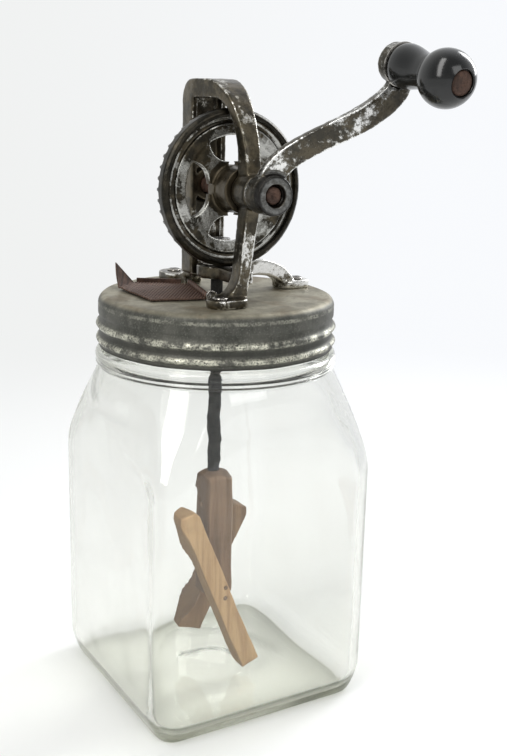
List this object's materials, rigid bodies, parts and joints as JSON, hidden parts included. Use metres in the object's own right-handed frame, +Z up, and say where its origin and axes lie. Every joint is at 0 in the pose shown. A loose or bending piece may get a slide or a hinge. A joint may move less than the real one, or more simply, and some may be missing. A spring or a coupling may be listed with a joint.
{
  "type": "butter churn",
  "caption": "Hand-cranked butter churn: a square glass jar with a screw lid that carries a geared cast frame, a crank with a round knob and a wooden dasher.",
  "frame": {"origin": "centre of the jar's base, on the surface that it stands on", "axes": "+Z up along the dasher's rod, -Y towards the crank, +X towards the side foot"},
  "size_m": [0.124, 0.172, 0.3228],
  "materials": {
    "glass": "clear pressed glass with a faint grey-green tint",
    "lid_zinc": "dull zinc-plated sheet, worn bright on its beads",
    "cast_iron": "brown cast iron with worn patches of bright plating",
    "gear_iron": "dark cast iron with worn plating on the raised rings",
    "steel": "dull bare steel",
    "rusty_steel": "steel with brown rust",
    "screen": "rusty woven wire screen",
    "black_wood": "turned wood with glossy black paint",
    "bare_wood": "bare weathered hardwood"
  },
  "bodies": {
    "jar": {"glass_jar": "glass"},
    "lid": {"screw_lid": "lid_zinc", "gear_frame": "cast_iron", "foot_rivets": "rusty_steel", "vent_wire": "steel"},
    "crank": {"crank_shaft": "rusty_steel", "shaft_washer": "steel", "shaft_collar": "steel", "collar_pin": "steel", "drive_gear": "gear_iron", "gear_pin": "steel", "crank_arm": "cast_iron", "crank_pin": "steel", "handle_pin": "rusty_steel", "handle_washer": "steel"},
    "knob": {"handle_knob": "black_wood"},
    "dasher": {"dasher_rod": "steel", "pinion": "gear_iron", "pinion_pin": "steel", "rod_washer": "steel", "dasher_stem": "bare_wood", "stem_pin": "steel", "paddle_front": "bare_wood", "paddle_rear": "bare_wood", "paddle_nails": "steel"},
    "flap": {"vent_screen": "screen"}
  },
  "joints": [
    {"name": "lid_lift", "type": "slide", "parent": "jar", "child": "lid", "axis": [0, 0, 1], "range_m": [0, 0.2]},
    {"name": "crank_turn", "type": "hinge", "parent": "lid", "child": "crank", "pos_m": [0, 0, 0.256], "axis": [0, -1, 0], "continuous": true},
    {"name": "knob_spin", "type": "hinge", "parent": "crank", "child": "knob", "pos_m": [0.05159, -0.0666, 0.3137], "axis": [0, -0.9816, -0.1908], "continuous": true},
    {"name": "dasher_spin", "type": "hinge", "parent": "lid", "child": "dasher", "pos_m": [0, 0, 0.215], "axis": [0, 0, 1], "continuous": true},
    {"name": "flap_lift", "type": "hinge", "parent": "lid", "child": "flap", "pos_m": [-0.00889, 0.00238, 0.20666], "axis": [0.2588, 0.9659, 0], "range_deg": [0, 40]}
  ],
  "couplings": [
    {"joint": "dasher_spin", "follows": "crank_turn", "ratio": 4}
  ]
}
